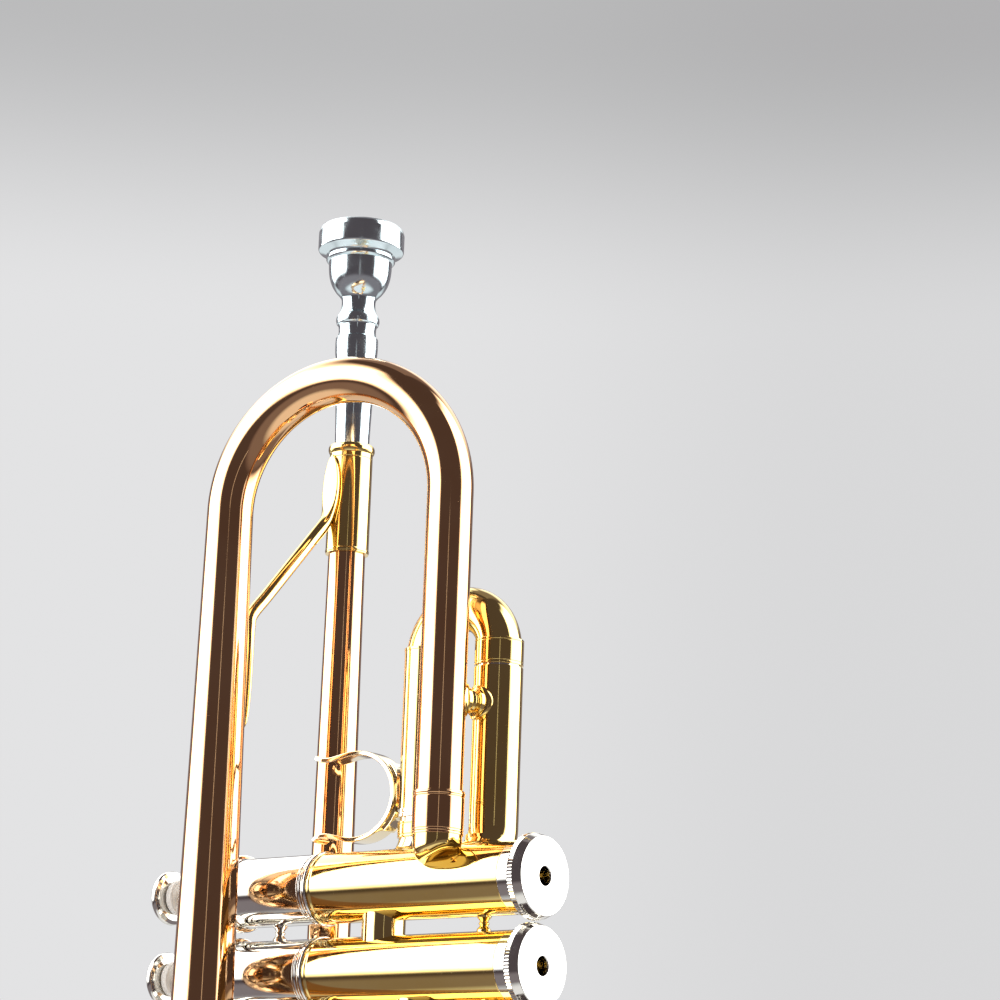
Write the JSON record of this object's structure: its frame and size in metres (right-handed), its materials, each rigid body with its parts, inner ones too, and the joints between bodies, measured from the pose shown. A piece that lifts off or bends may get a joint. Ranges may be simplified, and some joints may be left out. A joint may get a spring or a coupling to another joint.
{
  "type": "trumpet",
  "caption": "Piston-valve trumpet with a bent conical bell, spring-return valves, pull-out slides, a water key and a removable cup mouthpiece.",
  "frame": {"origin": "on the bell rim's plane, under the middle of the whole box", "axes": "+Z from the bell rim to the mouthpiece, +X from the finger buttons to the bottom valve caps, +Y from the bell to the leadpipe"},
  "size_m": [0.1608, 0.1403, 0.5396],
  "materials": {
    "gold_brass": "polished and lacquered, reddish",
    "yellow_brass": "polished and lacquered",
    "nickel": "polished nickel silver",
    "silver": "bright silver plate",
    "steel": "drawn wire",
    "pearl": "polished shell inlay",
    "nylon": "plain moulded",
    "cork": "matt cork"
  },
  "bodies": {
    "trumpet_body": {"bell": "gold_brass", "bell_ferrule": "gold_brass", "leadpipe": "gold_brass", "mouthpiece_receiver": "gold_brass", "rear_brace": "gold_brass", "bell_knuckle": "yellow_brass", "valve_casing_1": "yellow_brass", "valve_casing_2": "yellow_brass", "valve_casing_3": "yellow_brass", "knuckle_12": "yellow_brass", "knuckle_23": "yellow_brass", "first_slide_inner_tube": "yellow_brass", "first_slide_outer_tube": "yellow_brass", "second_slide_upper_tube": "yellow_brass", "second_slide_lower_tube": "yellow_brass", "third_slide_upper_tube": "yellow_brass", "third_slide_lower_tube": "yellow_brass", "tuning_upper_tube": "yellow_brass", "tuning_lower_tube": "yellow_brass", "leadpipe_ferrule": "yellow_brass", "tuning_ferrule": "yellow_brass", "tuning_knuckle": "yellow_brass", "bell_post_brace": "yellow_brass", "front_brace": "yellow_brass", "pinky_hook": "yellow_brass", "bottom_cap_1": "nickel", "bottom_cap_2": "nickel", "bottom_cap_3": "nickel", "top_cap_1": "nickel", "top_cap_2": "nickel", "top_cap_3": "nickel", "stop_lug": "nickel", "valve_spring_1": "steel", "valve_spring_2": "steel", "valve_spring_3": "steel", "valve_guide_1": "nylon", "valve_guide_2": "nylon", "valve_guide_3": "nylon"},
    "mouthpiece": {"mouthpiece": "silver"},
    "valve_1": {"piston_1": "nickel", "finger_button_1": "nickel", "pearl_1": "pearl"},
    "valve_2": {"piston_2": "nickel", "finger_button_2": "nickel", "pearl_2": "pearl"},
    "valve_3": {"piston_3": "nickel", "finger_button_3": "nickel", "pearl_3": "pearl"},
    "first_slide": {"first_slide_bow": "yellow_brass", "thumb_saddle": "nickel"},
    "second_slide": {"second_slide_bow": "yellow_brass", "second_slide_knob": "nickel"},
    "third_slide": {"third_slide_bow": "yellow_brass", "finger_ring": "nickel", "stop_rod": "nickel"},
    "tuning_slide": {"tuning_slide_bow": "gold_brass", "tuning_slide_brace": "yellow_brass", "water_key_nipple": "yellow_brass"},
    "water_key": {"water_key_lever": "nickel", "water_key_cork": "cork"}
  },
  "joints": [
    {"name": "mouthpiece_pull", "type": "slide", "parent": "trumpet_body", "child": "mouthpiece", "axis": [0, 0, 1], "range_m": [0, 0.06]},
    {"name": "valve_1_press", "type": "slide", "parent": "trumpet_body", "child": "valve_1", "axis": [1, 0, 0], "range_m": [0, 0.0165], "stiffness_N_per_m": 120, "springref_m": -0.012, "deforming": ["valve_spring_1"]},
    {"name": "valve_2_press", "type": "slide", "parent": "trumpet_body", "child": "valve_2", "axis": [1, 0, 0], "range_m": [0, 0.0165], "stiffness_N_per_m": 120, "springref_m": -0.012, "deforming": ["valve_spring_2"]},
    {"name": "valve_3_press", "type": "slide", "parent": "trumpet_body", "child": "valve_3", "axis": [1, 0, 0], "range_m": [0, 0.0165], "stiffness_N_per_m": 120, "springref_m": -0.012, "deforming": ["valve_spring_3"]},
    {"name": "first_slide_pull", "type": "slide", "parent": "trumpet_body", "child": "first_slide", "axis": [0, 0, 1], "range_m": [0, 0.03]},
    {"name": "second_slide_pull", "type": "slide", "parent": "trumpet_body", "child": "second_slide", "axis": [0, 1, 0], "range_m": [0, 0.013]},
    {"name": "third_slide_pull", "type": "slide", "parent": "trumpet_body", "child": "third_slide", "axis": [0, 0, -1], "range_m": [0, 0.028]},
    {"name": "tuning_slide_pull", "type": "slide", "parent": "trumpet_body", "child": "tuning_slide", "axis": [0, 0, -1], "range_m": [0, 0.045]},
    {"name": "water_key_pivot", "type": "hinge", "parent": "tuning_slide", "child": "water_key", "pos_m": [0.0533, 0.03275, 0.1154], "axis": [0, -1, 0], "range_deg": [0, 10], "stiffness_Nm_per_rad": 0.03, "springref_deg": -28.65}
  ]
}
